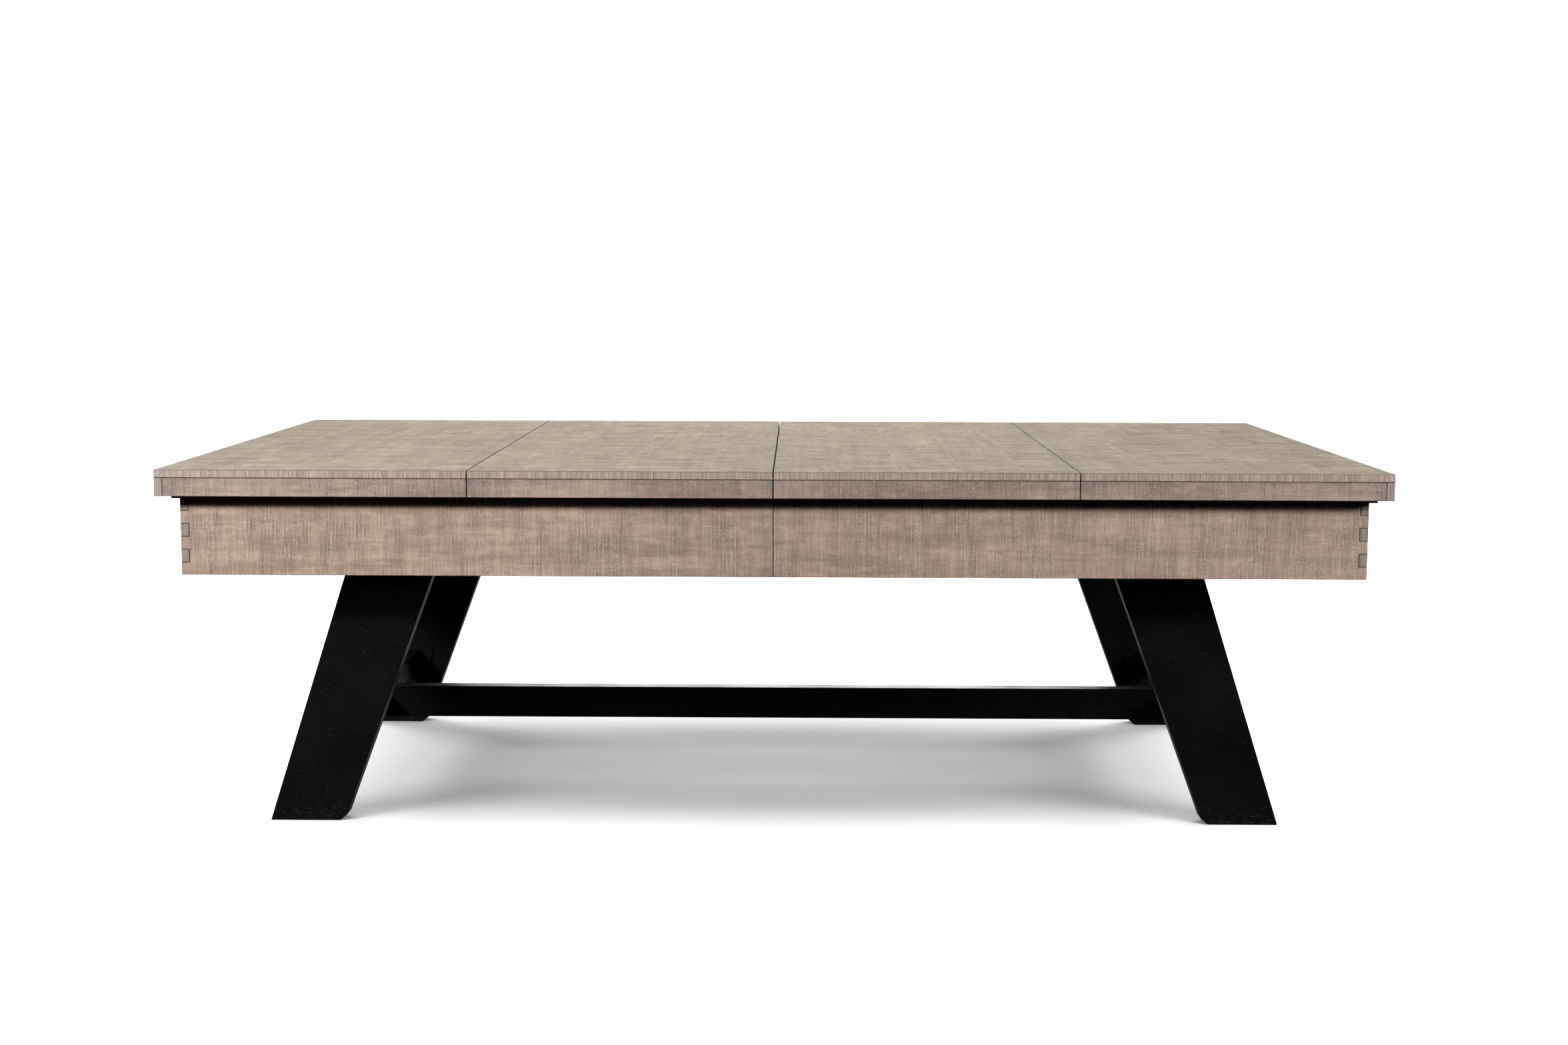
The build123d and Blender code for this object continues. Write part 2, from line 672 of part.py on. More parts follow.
def cross_member():
    """The right-hand tube between the front and rear legs, with a slanted flange at each end."""
    half = CROSS_TUBE_SIZE / 2
    reach = LEG_BACK_Y - FLANGE_THICKNESS
    low, high = CROSS_TUBE_X - half, CROSS_TUBE_X + half
    bottom = CROSS_TUBE_TOP - CROSS_TUBE_SIZE
    wall = CROSS_TUBE_WALL
    member = block(low, high, -reach, reach, bottom, CROSS_TUBE_TOP)
    flange_face = Pos(CROSS_TUBE_X, FLANGE_Z) * Rot(0, 0, FLANGE_TILT) * Rectangle(FLANGE_WIDTH, FLANGE_HEIGHT)
    flange = extrude(Plane.XZ.offset(-LEG_BACK_Y) * flange_face, FLANGE_THICKNESS)
    for x, z in flange_bolt_places():
        flange -= Pos(x, LEG_BACK_Y, z) * Rot(90, 0, 0) * Cylinder(BOLT_HOLE_RADIUS, 4 * FLANGE_THICKNESS)
    member += flange + placed(flange, 1, -1)
    member -= block(low + wall, high - wall, -LEG_BACK_Y, LEG_BACK_Y, bottom + wall, CROSS_TUBE_TOP - wall)
    for y in (-END_PLATE_BOLT_OFFSET, END_PLATE_BOLT_OFFSET):
        member -= Pos(low, y, CROSS_TUBE_Z) * Rot(0, 90, 0) * Cylinder(BOLT_HOLE_RADIUS, 4 * wall)
    return member


def stretcher():
    """The long tube between the cross members, with a bolted plate at each end."""
    half_y = STRETCHER_DEPTH / 2
    bottom = CROSS_TUBE_TOP - STRETCHER_HEIGHT
    inner_x = STRETCHER_END_X - FLANGE_THICKNESS
    wall = STRETCHER_WALL
    beam = block(-inner_x, inner_x, -half_y, half_y, bottom, CROSS_TUBE_TOP)
    beam -= block(-inner_x, inner_x, wall - half_y, half_y - wall, bottom + wall, CROSS_TUBE_TOP - wall)
    plate = block(
        inner_x, STRETCHER_END_X, -END_PLATE_WIDTH / 2, END_PLATE_WIDTH / 2, bottom, CROSS_TUBE_TOP
    )
    plate -= Pos(inner_x, 0, STRETCHER_Z) * Rot(0, 90, 0) * Cylinder(DRAIN_RADIUS, 4 * FLANGE_THICKNESS)
    for y in (-END_PLATE_BOLT_OFFSET, END_PLATE_BOLT_OFFSET):
        plate -= Pos(inner_x, y, CROSS_TUBE_Z) * Rot(0, 90, 0) * Cylinder(
            BOLT_HOLE_RADIUS, 4 * FLANGE_THICKNESS
        )
    return beam + plate + placed(plate, -1, 1)


def base_bolts():
    """The bolts of the right rear quarter: leg plate, flange and stretcher end plate."""
    bolts = [Pos(x, y, LEG_TOP) * Rot(180, 0, 0) * hex_bolt(PLATE_BOLT_LENGTH) for x, y in plate_bolt_places()]
    face_y = LEG_BACK_Y - FLANGE_THICKNESS
    bolts += [Pos(x, face_y, z) * Rot(90, 0, 0) * hex_bolt(FLANGE_BOLT_LENGTH) for x, z in flange_bolt_places()]
    plate_x = STRETCHER_END_X - FLANGE_THICKNESS
    bolts.append(
        Pos(plate_x, END_PLATE_BOLT_OFFSET, CROSS_TUBE_Z) * Rot(0, -90, 0) * hex_bolt(FLANGE_BOLT_LENGTH)
    )
    return bolts


def make_base():
    for end_name, end in ENDS.items():
        for side_name, side in SIDES.items():
            save(f"leg_{side_name}_{end_name}", placed(leg(), end, side))
        save(f"cross_member_{end_name}", placed(cross_member(), end, 1))
    save("stretcher", stretcher())
    save("base_bolts", *[copy for bolt in base_bolts() for copy in four_quarters(bolt)])


os.makedirs("parts", exist_ok=True)
make_dining_top()
make_cabinet()
make_bed_frame()
make_bed_and_rails()
make_pockets()
make_base()
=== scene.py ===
import json
import math

import bmesh
import bpy
import numpy as np
from mathutils import Matrix, Vector

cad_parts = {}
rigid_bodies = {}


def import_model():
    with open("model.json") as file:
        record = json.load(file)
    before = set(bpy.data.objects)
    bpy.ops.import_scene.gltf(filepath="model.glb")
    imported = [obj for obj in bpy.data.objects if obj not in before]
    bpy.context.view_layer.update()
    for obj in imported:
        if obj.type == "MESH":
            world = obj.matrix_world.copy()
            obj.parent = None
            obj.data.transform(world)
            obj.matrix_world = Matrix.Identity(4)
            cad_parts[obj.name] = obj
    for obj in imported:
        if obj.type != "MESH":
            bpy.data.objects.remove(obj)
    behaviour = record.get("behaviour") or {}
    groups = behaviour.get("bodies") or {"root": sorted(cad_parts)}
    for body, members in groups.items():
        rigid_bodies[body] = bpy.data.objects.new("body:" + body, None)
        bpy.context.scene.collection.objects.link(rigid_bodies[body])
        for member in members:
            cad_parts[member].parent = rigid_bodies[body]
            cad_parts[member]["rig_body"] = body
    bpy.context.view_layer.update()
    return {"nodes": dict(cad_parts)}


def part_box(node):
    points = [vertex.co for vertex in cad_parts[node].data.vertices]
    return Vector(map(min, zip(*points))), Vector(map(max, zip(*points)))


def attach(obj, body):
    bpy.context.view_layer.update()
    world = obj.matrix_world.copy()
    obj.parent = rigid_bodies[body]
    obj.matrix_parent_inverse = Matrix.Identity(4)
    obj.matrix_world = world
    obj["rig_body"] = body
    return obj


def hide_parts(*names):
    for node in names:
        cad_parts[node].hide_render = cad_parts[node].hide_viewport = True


# Looks of the pool table with its lift-off dining top. Everything is in metres, in the frame
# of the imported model: the origin is on the floor under the middle, +X to the right, +Z up.

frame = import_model()

X, Y, Z = 0, 1, 2

# Wooden boards
SKIRT_THICKNESS = 0.018
APRON_THICKNESS = 0.018
FINGER_COUNT = 6
BOARD_EASE = 0.0014
SEAM_EASE = 0.0007
SAW_STEP = 0.0027
SAW_DEPTH = 0.00022
SAW_PITCH = 0.0029
COARSE_STEP = 0.012
PLANK_STEP = 0.03
GROOVE_HALF_WIDTH = 0.0022
GROOVE_DEPTH = 0.0003
EASE_SHARE = 0.22
RUB_REACH = 0.045
BOARD_RUB = 0.5
APRON_RUB = 0.35
SAW_PATCH = 0.05
SAW_PATCH_ALONG = 0.09
SAME_PLACE = 1e-6

# Each board draws its saw marks from its own seed
FRONT_SKIRT_SEED = 20
REAR_SKIRT_SEED = 30
END_SKIRT_SEED = 40
APRON_SEED = 50

# Widths of the planks of each dining section, left to right, as shares of the section
PLANK_SHARES = {
    1: (160, 174, 180, 149),
    2: (172, 166, 176, 135),
    3: (130, 136, 138, 130, 115),
    4: (171, 174, 176, 142),
}

# Soft parts
FELT_EASE = 0.0007
CLOTH_STEP = 0.012
CLOTH_EASE = 0.0004
POCKET_CUT_RADIUS = 0.060
CUSHION_VOXEL = 0.003
CUSHION_SMOOTHING = 4
CLOTH_SHADE = (0.012, 0.10, 0.05)
CLOTH_LIGHT = (0.03, 0.2, 0.1)
WRAP = 0.0005

# CAD nodes that keep their shape: how much their edges are eased
WELD_DISTANCE = 0.00005
EASE_SEGMENTS = 2
EASE_ANGLE = 40
RAIL_EASE = 0.001
SIGHT_EASE = 0.0003
STEEL_EASE = 0.0012
FASTENER_EASE = 0.0005
SLATE_EASE = 0.001
POCKET_EASE = 0.0008
TIMBER_EASE = 0.0015

# Camera, at the height of a standing person's chest and almost square to the front
CAMERA_PLACE = (0.0567, -5.194, 1.237)
CAMERA_PITCH = 6.833
CAMERA_YAW = 0.43
CAMERA_ROLL = 0.188
CAMERA_LENS = 48.51
CAMERA_SENSOR = 36.0

# Studio
FLOOR_SIZE = 120.0
DOME_RADIUS = 60.0
FLOOR_DROP = 0.0005
FLOOR_COLOUR = (0.9, 0.9, 0.9, 1)
FLOOR_GLOW = 0.03
DOME_GLOW = 1.05
WORLD_BELOW = 0.10
WORLD_ABOVE = 0.14
HORIZON = 0.3
AIM_HEIGHT = 0.65

# CAD nodes of the steel base and of the bed
STEEL_NODES = ("leg_", "cross_member", "stretcher")
SLATE_NODES = ("slate_left", "slate_centre", "slate_right")


# Lattice solids ------------------------------------------------------------------------------


def cuts(low, high, step, ease):
    """Lattice lines from low to high, about a step apart, with one more just inside each end."""
    count = max(1, round((high - low - 2 * ease) / step))
    inner = np.linspace(low + ease, high - ease, count + 1)
    return np.concatenate(([low], inner, [high]))


def value_noise(points, size, seed):
    """Smooth noise from 0 to 1 at each point, with features of about the given sizes."""
    scaled = points / np.asarray(size, float) + 1000.0
    cell = np.floor(scaled).astype(np.int64)
    part = scaled - cell
    part = part * part * (3 - 2 * part)
    total = np.zeros(len(points))
    for corner in np.ndindex(2, 2, 2):
        at = cell + np.array(corner)
        mixed = at[:, 0] * 73856093 ^ at[:, 1] * 19349663 ^ at[:, 2] * 83492791 ^ seed * 2654435
        mixed = (mixed ^ (mixed >> 13)) * 1274126177
        value = ((mixed ^ (mixed >> 16)) & 0xFFFF) / 0xFFFF
        weight = np.prod(np.where(np.array(corner) == 1, part, 1 - part), axis=1)
        total += value * weight
    return total


class Solid:
    """A closed skin round the filled cells of a lattice, with values painted on it."""

    def __init__(self, xs, ys, zs, filled=None):
        lines = [np.asarray(axis, float) for axis in (xs, ys, zs)]
        size = [len(axis) for axis in lines]
        if filled is None:
            filled = np.ones([n - 1 for n in size], bool)
        cells = np.pad(filled, 1)
        quads, axes = [], []
        for axis in range(3):
            found, normals = self.walls(cells, size, axis)
            quads.append(found)
            axes.append(normals)
        quads = np.concatenate(quads)
        self.face_axis = np.concatenate(axes)
        used, numbers = np.unique(quads, return_inverse=True)
        self.quads = numbers.reshape(-1, 4)
        grid = np.stack(np.unravel_index(used, size), 1)
        self.line = grid
        self.points = np.stack([lines[a][grid[:, a]] for a in range(3)], 1)
        inward = np.zeros((len(used), 3))
        count = np.zeros(len(used), int)
        for corner in np.ndindex(2, 2, 2):
            at = grid + np.array(corner)
            here = cells[at[:, 0], at[:, 1], at[:, 2]]
            count += here
            inward += here[:, None] * (2 * np.array(corner) - 1)
        self.edge = (count != 4).astype(float)
        self.inward = np.where(count[:, None] == 4, np.sign(inward), 0.0)
        self.values = {"edge": self.edge}
        self.face_values = {}

    @staticmethod
    def walls(cells, size, axis):
        """Quads between filled and empty cells across one axis, and the axis of each."""
        inner = [slice(1, -1)] * 3
        before, after = list(inner), list(inner)
        before[axis] = slice(0, size[axis])
        after[axis] = slice(1, size[axis] + 1)
        before, after = cells[tuple(before)], cells[tuple(after)]
        across, up = np.eye(3, dtype=int)[(axis + 1) % 3], np.eye(3, dtype=int)[(axis + 2) % 3]
        found = []
        for wall, turn in ((before & ~after, (0, 1, 2, 3)), (after & ~before, (3, 2, 1, 0))):
            base = np.argwhere(wall)
            ring = [base, base + across, base + across + up, base + up]
            numbers = [np.ravel_multi_index(tuple(ring[n].T), size) for n in turn]
            found.append(np.stack(numbers, 1))
        found = np.concatenate(found)
        return found, np.full(len(found), axis)

    def ease(self, amount):
        """Rounds the edges off: each edge vertex moves towards all its neighbours alike."""
        here, there = self.quads.ravel(), np.roll(self.quads, -1, 1).ravel()
        step = self.points[there] - self.points[here]
        step /= np.linalg.norm(step, axis=1)[:, None]
        pull = np.zeros_like(self.points)
        np.add.at(pull, here, step)
        self.points += EASE_SHARE * amount * pull
        return self

    def saw(self, grain, seed):
        """Cuts saw marks: each lattice line across the grain sinks by its own depth, in patches."""
        marks = np.random.default_rng(seed).random(self.line[:, grain].max() + 1)
        size = [SAW_PATCH, SAW_PATCH, SAW_PATCH]
        size[grain] = SAW_PATCH_ALONG
        patch = np.clip(value_noise(self.points, size, seed) * 2.2 - 0.6, 0, 1)
        sink = SAW_DEPTH * marks[self.line[:, grain]] * (0.25 + 0.75 * patch)
        sink *= np.abs(self.inward[:, grain]) < 0.5
        self.points += self.inward * sink[:, None]
        self.values["kerf"] = marks[self.line[:, grain]] * patch
        self.face_values["end_grain"] = (self.face_axis == grain).astype(float)
        return self

    def paint(self, name, values):
        """Paints one number per vertex."""
        self.values[name] = np.asarray(values, float)
        return self

    def paint_faces(self, name, values):
        """Paints one number per face, the same on all of them if it is a single number."""
        self.face_values[name] = np.full(len(self.quads), 0.0) + values
        return self

    def middles(self):
        """The middle of each face."""
        return self.points[self.quads].mean(1)


def box_solid(low, high, grain, seam=BOARD_EASE):
    """A sawn board between two corners, with close lattice lines along its grain."""
    lines = []
    for axis in range(3):
        step, ease = (SAW_STEP, seam) if axis == grain else (COARSE_STEP, BOARD_EASE)
        lines.append(cuts(low[axis], high[axis], step, ease))
    return Solid(*lines)


def join(name, solids):
    """One mesh object made of several closed solids and their painted values."""
    start, points, quads = 0, [], []
    for solid in solids:
        points.append(solid.points)
        quads.append(solid.quads + start)
        start += len(solid.points)
    points, quads = np.concatenate(points), np.concatenate(quads)
    mesh = bpy.data.meshes.new(name)
    mesh.from_pydata(points.tolist(), [], quads.tolist())
    for domain, group in (("POINT", "values"), ("FACE", "face_values")):
        for key in getattr(solids[0], group):
            values = np.concatenate([getattr(s, group)[key] for s in solids])
            layer = mesh.attributes.new(key, "FLOAT", domain)
            layer.data.foreach_set("value", values.astype(np.float32))
    mesh.polygons.foreach_set("use_smooth", [False] * len(quads))
    mesh.update()
    piece = bpy.data.objects.new(name, mesh)
    bpy.context.scene.collection.objects.link(piece)
    return piece


def body_of_node(node):
    """The body that a CAD node rides on."""
    return frame["nodes"][node]["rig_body"]


def stand_in(piece, node, material):
    """Puts a finished piece in the place of a CAD node."""
    piece.data.materials.clear()
    piece.data.materials.append(material)
    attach(piece, body_of_node(node))
    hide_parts(node)
    return piece


# Node trees ----------------------------------------------------------------------------------


class Graph:
    """Short calls that build one material's node tree round its Principled shader."""

    def __init__(self, name):
        self.material = bpy.data.materials.new(name)
        self.material.use_nodes = True
        self.tree = self.material.node_tree
        self.shader = self.tree.nodes["Principled BSDF"]

    def put(self, socket, value):
        """Links a socket to a socket, or sets it to a plain value."""
        if isinstance(value, bpy.types.NodeSocket):
            self.tree.links.new(value, socket)
        else:
            socket.default_value = value

    def add(self, kind, inputs=(), **settings):
        """Adds a node, sets its options and fills its inputs by name or number."""
        node = self.tree.nodes.new(kind)
        for key, value in settings.items():
            setattr(node, key, value)
        for key, value in dict(inputs).items():
            self.put(node.inputs[key], value)
        return node

    def place(self):
        """Position on the object, in metres."""
        return self.add("ShaderNodeTexCoord").outputs["Object"]

    def painted(self, name):
        """A value painted on the mesh."""
        return self.add("ShaderNodeAttribute", attribute_name=name).outputs["Fac"]

    def vector(self, operation, a, b):
        node = self.add("ShaderNodeVectorMath", {0: a, 1: b}, operation=operation)
        return node.outputs["Vector"]

    def math(self, operation, a, b=0.0, c=0.0):
        node = self.add("ShaderNodeMath", {0: a, 1: b, 2: c}, operation=operation)
        return node.outputs["Value"]

    def noise(self, place, scale, detail=2.0, roughness=0.5, distortion=0.0):
        """Noise stretched by three scales, in features per metre."""
        inputs = {
            "Vector": self.vector("MULTIPLY", place, tuple(scale)),
            "Scale": 1.0,
            "Detail": detail,
            "Roughness": roughness,
            "Distortion": distortion,
        }
        return self.add("ShaderNodeTexNoise", inputs).outputs["Fac"]

    def span(self, value, low, high, to_low=0.0, to_high=1.0):
        """Turns the range low to high into another, smoothly and with no overshoot."""
        inputs = {
            "Value": value,
            "From Min": low,
            "From Max": high,
            "To Min": to_low,
            "To Max": to_high,
        }
        node = self.add("ShaderNodeMapRange", inputs, interpolation_type="SMOOTHSTEP")
        return node.outputs["Result"]

    def mix(self, share, a, b):
        """Mixes two colours."""
        node = self.add("ShaderNodeMix", data_type="RGBA", blend_type="MIX")
        self.put(node.inputs["Factor"], share)
        for key, value in (("A", a), ("B", b)):
            socket = next(s for s in node.inputs if s.name == key and s.type == "RGBA")
            self.put(socket, (*value, 1.0) if isinstance(value, tuple) else value)
        return next(s for s in node.outputs if s.type == "RGBA")

    def finish(self, colour, roughness, height=None, depth=0.001, **plain):
        """Fills the shader: colour, roughness, bump of a given depth and constant sockets."""
        self.put(self.shader.inputs["Base Color"], colour)
        self.put(self.shader.inputs["Roughness"], roughness)
        if height is not None:
            bump = self.add("ShaderNodeBump", {"Height": height, "Strength": 1.0, "Distance": depth})
            self.put(self.shader.inputs["Normal"], bump.outputs["Normal"])
        for key, value in plain.items():
            self.shader.inputs[key.replace("_", " ")].default_value = value
        return self.material


def stretched(grain, saw, along, across, through):
    """Three noise scales: along the grain, along the saw marks, and the third way."""
    scale = [through, through, through]
    scale[grain], scale[saw] = along, across
    return scale


# Materials: wood -----------------------------------------------------------------------------


def saw_wave(g, place, grain, field, broken):
    """The ripple left by the saw, about -1 to 1: regular, but drifting and broken up."""
    along = g.add("ShaderNodeSeparateXYZ", {"Vector": place}).outputs[grain]
    drift = g.math("MULTIPLY_ADD", field(9, 2, 2), 9.0, g.math("MULTIPLY", field(70, 6, 6), 4.0))
    wave = g.math("SINE", g.math("MULTIPLY_ADD", along, 2 * math.pi / SAW_PITCH, drift))
    wave = g.math("MULTIPLY_ADD", g.span(broken, 0.3, 0.7, -1.0, 1.0), 0.55, wave)
    stroke = field(230, 20, 20, detail=1.0)
    return g.math("MULTIPLY_ADD", g.span(stroke, 0.35, 0.65, -1.0, 1.0), 0.25, wave)


def end_grain_colour(g, place, grain, ring, broken, tones):
    """Growth rings and lines of pores on the ends of a board; ring is the axis that they cross."""
    ring_scale = [9, 9, 9]
    ring_scale[ring], ring_scale[grain] = 150, 0
    rings = g.noise(place, ring_scale, detail=2.0, distortion=0.4)
    across = g.add("ShaderNodeSeparateXYZ", {"Vector": place}).outputs[ring]
    ripple = g.math("MULTIPLY_ADD", rings, 14.0, g.math("MULTIPLY", broken, 3.0))
    pores = g.math("SINE", g.math("MULTIPLY_ADD", across, 2 * math.pi / SAW_PITCH, ripple))
    end = g.mix(g.span(rings, 0.34, 0.66), tones["end_dark"], tones["end_light"])
    end = g.mix(g.span(pores, 0.0, 1.0, 0.0, 0.55), end, tones["stain"])
    return g.mix(g.span(pores, 0.0, -1.0, 0.0, 0.5), end, tones["end_line"])


def sawn_wood(name, grain, saw, tones, ring, lines=1.0, streaks=0.4):
    """Rough-sawn, stained and lacquered board: stain lies in the saw marks across the grain."""
    g = Graph(name)
    shift = g.vector("SCALE", (3.1, 7.7, 5.3), (0, 0, 0))
    g.put(shift.node.inputs["Scale"], g.painted("plank"))
    place = g.vector("ADD", g.place(), shift)

    def field(along, across, through, **options):
        return g.noise(place, stretched(grain, saw, along, across, through), **options)

    blotch = field(4, 17, 17, detail=3.0, roughness=0.6)
    band = field(2.6, 42, 42, detail=4.0, roughness=0.6)
    fibre = field(13, 420, 420, detail=3.0)
    figure = field(11, 120, 120, detail=3.0, roughness=0.6, distortion=0.5)
    patch = field(26, 78, 62, detail=3.0, roughness=0.65)
    streak = field(60, 6, 6, detail=4.0, roughness=0.75)
    hue = field(9, 14, 14, detail=3.0, roughness=0.7)
    cluster = g.span(field(21, 7, 7, detail=3.0, roughness=0.65), 0.42, 0.6, 0.35, 1.0)
    chatter = field(95, 5, 5, detail=2.0)
    broken = field(300, 300, 170, detail=1.0)
    wave = saw_wave(g, place, grain, field, broken)
    dark_line = g.math("MULTIPLY", g.span(wave, 0.1, 1.1), cluster)
    light_line = g.math("MULTIPLY", g.span(wave, -0.1, -1.1), cluster)

    tone = g.math("MULTIPLY_ADD", blotch, 0.4, g.math("MULTIPLY", band, 0.6))
    colour = g.mix(g.span(tone, 0.36, 0.64), tones["dark"], tones["light"])
    colour = g.mix(g.span(hue, 0.5, 0.66, 0.0, 0.5), colour, tones["rosy"])
    colour = g.mix(g.span(streak, 0.5, 0.66, 0.0, streaks), colour, tones["stain"])
    colour = g.mix(g.span(streak, 0.5, 0.32, 0.0, 0.7 * streaks), colour, tones["pale"])
    colour = g.mix(g.span(patch, 0.5, 0.66, 0.0, 0.28), colour, tones["pale"])
    colour = g.mix(g.span(patch, 0.5, 0.32, 0.0, 0.2), colour, tones["stain"])
    colour = g.mix(g.span(chatter, 0.5, 0.68, 0.0, 0.22 * lines), colour, tones["stain"])
    colour = g.mix(g.span(figure, 0.54, 0.7, 0.0, 0.42), colour, tones["brown"])
    colour = g.mix(g.span(fibre, 0.5, 0.68, 0.0, 0.22), colour, tones["stain"])
    colour = g.mix(g.math("MULTIPLY", dark_line, 0.85 * lines), colour, tones["stain"])
    colour = g.mix(g.math("MULTIPLY", light_line, 0.7 * lines), colour, tones["pale"])
    fleck = g.math("MULTIPLY", g.span(broken, 0.64, 0.72), cluster)
    colour = g.mix(g.math("MULTIPLY", fleck, 0.8 * lines), colour, tones["fleck"])
    pit = g.math("MULTIPLY", g.span(broken, 0.36, 0.28), cluster)
    colour = g.mix(g.math("MULTIPLY", pit, 0.8 * lines), colour, tones["ink"])
    sunk = g.math("MULTIPLY", g.painted("kerf"), 0.25 * lines)
    colour = g.mix(sunk, colour, tones["stain"])

    smudge = g.span(field(14, 22, 22, detail=3.0), 0.35, 0.65)
    rub = g.math("MULTIPLY", g.painted("rub"), g.math("MULTIPLY", smudge, 0.7))
    colour = g.mix(rub, colour, tones["burnish"])
    joint = g.math("MULTIPLY", g.painted("joint"), g.span(blotch, 0.4, 0.58, 0.1, 0.7))
    colour = g.mix(joint, colour, tones["fleck"])

    end = end_grain_colour(g, place, grain, ring, broken, tones)
    colour = g.mix(g.painted("end_grain"), colour, end)

    # Dark rim along every edge of each board, towards the ink tone: partly dark stain on the eased
    # edges, partly painted shade in the gaps between boards and round the fingers.
    rim_variation = g.span(field(60, 60, 60, detail=3.0), 0.3, 0.62, 0.8, 1.0)
    rim = g.math("POWER", g.painted("edge"), 0.5)
    colour = g.mix(g.math("MULTIPLY", rim, rim_variation), colour, tones["ink"])

    height = g.math("MULTIPLY_ADD", dark_line, -1.0, g.math("MULTIPLY", light_line, 0.7))
    height = g.math("MULTIPLY_ADD", fibre, -0.4, height)
    height = g.math("MULTIPLY_ADD", fleck, 0.6, height)
    roughness = g.math("MULTIPLY_ADD", dark_line, 0.2, g.span(blotch, 0.3, 0.7, 0.56, 0.68))
    return g.finish(colour, roughness, height, 0.0005, Specular_IOR_Level=0.25)


# Tones of the dining top: greyer and cooler than the skirts' tones of the same wood, with a painted
# sheen of the lacquer seen at a low angle laid into them.
TOP_TONES = {
    "dark": (0.298, 0.25, 0.2),
    "light": (0.404, 0.346, 0.283),
    "stain": (0.178, 0.145, 0.117),
    "pale": (0.468, 0.408, 0.337),
    "ink": (0.03, 0.026, 0.023),
    "fleck": (0.418, 0.367, 0.317),
    "burnish": (0.206, 0.197, 0.192),
    "rosy": (0.288, 0.241, 0.205),
    "brown": (0.216, 0.176, 0.14),
    "end_dark": (0.22, 0.162, 0.14),
    "end_light": (0.37, 0.285, 0.25),
    "end_line": (0.55, 0.45, 0.40),
}

SKIRT_TONES = {
    "dark": (0.225, 0.162, 0.13),
    "light": (0.385, 0.288, 0.238),
    "stain": (0.13, 0.096, 0.08),
    "pale": (0.489, 0.371, 0.314),
    "ink": (0.02, 0.017, 0.014),
    "fleck": (0.62, 0.53, 0.46),
    "burnish": (0.161, 0.147, 0.142),
    "rosy": (0.36, 0.265, 0.22),
    "brown": (0.16, 0.105, 0.078),
    "end_dark": (0.23, 0.19, 0.165),
    "end_light": (0.32, 0.27, 0.235),
    "end_line": (0.38, 0.33, 0.29),
}

APRON_TONES = {
    "dark": (0.262, 0.181, 0.132),
    "light": (0.436, 0.311, 0.238),
    "stain": (0.143, 0.1, 0.077),
    "pale": (0.60, 0.462, 0.385),
    "ink": (0.02, 0.016, 0.012),
    "fleck": (0.62, 0.52, 0.44),
    "burnish": (0.178, 0.169, 0.161),
    "rosy": (0.40, 0.275, 0.215),
    "brown": (0.19, 0.115, 0.078),
    "end_dark": (0.18, 0.15, 0.13),
    "end_light": (0.25, 0.215, 0.185),
    "end_line": (0.32, 0.275, 0.24),
}


def sanded_wood(name, grain, tones, wood_face, cushion_bottom):
    """The same stained wood sanded smooth, as on the rails; cushion cloth covers its inner foot."""
    g = Graph(name)
    place = g.place()
    saw = (grain + 1) % 3
    tone = g.noise(place, stretched(grain, saw, 3, 24, 24), detail=3.0)
    fibre = g.noise(place, stretched(grain, saw, 10, 330, 330), detail=3.0)
    figure = g.noise(place, stretched(grain, saw, 2, 60, 60), detail=2.0, distortion=0.8)
    colour = g.mix(g.span(tone, 0.36, 0.64), tones["dark"], tones["light"])
    colour = g.mix(g.span(figure, 0.52, 0.7, 0.0, 0.45), colour, tones["stain"])
    colour = g.mix(g.span(fibre, 0.5, 0.68, 0.0, 0.4), colour, tones["stain"])
    parts = g.add("ShaderNodeSeparateXYZ", {"Vector": place}).outputs
    in_from_face = g.math("LESS_THAN", g.math("ABSOLUTE", parts[Y if grain == X else X]), wood_face)
    foot = g.math("MULTIPLY", in_from_face, g.math("LESS_THAN", parts[Z], cushion_bottom))
    colour = g.mix(foot, colour, CLOTH_SHADE)
    roughness = g.math("MULTIPLY_ADD", foot, 0.4, g.span(tone, 0.3, 0.7, 0.36, 0.48))
    return g.finish(colour, roughness, fibre, 0.00015, Specular_IOR_Level=0.3)


def softwood(name, grain):
    """Plain sawn pine of the parts inside."""
    g = Graph(name)
    place = g.place()
    saw = (grain + 1) % 3
    rings = g.noise(place, stretched(grain, saw, 1.2, 75, 75), detail=1.0, distortion=0.5)
    fibre = g.noise(place, stretched(grain, saw, 9, 380, 380), detail=3.0)
    marks = g.noise(place, stretched(grain, saw, 260, 14, 14), detail=1.0)
    colour = g.mix(g.span(rings, 0.42, 0.62), (0.62, 0.47, 0.31), (0.44, 0.28, 0.15))
    colour = g.mix(g.span(fibre, 0.5, 0.7, 0.0, 0.3), colour, (0.34, 0.22, 0.12))
    colour = g.mix(g.span(marks, 0.55, 0.65, 0.0, 0.16), colour, (0.3, 0.2, 0.12))
    height = g.math("ADD", fibre, marks)
    return g.finish(colour, g.span(rings, 0.4, 0.6, 0.6, 0.72), height, 0.0003)


# Materials: metal, stone, cloth, rubber ------------------------------------------------------


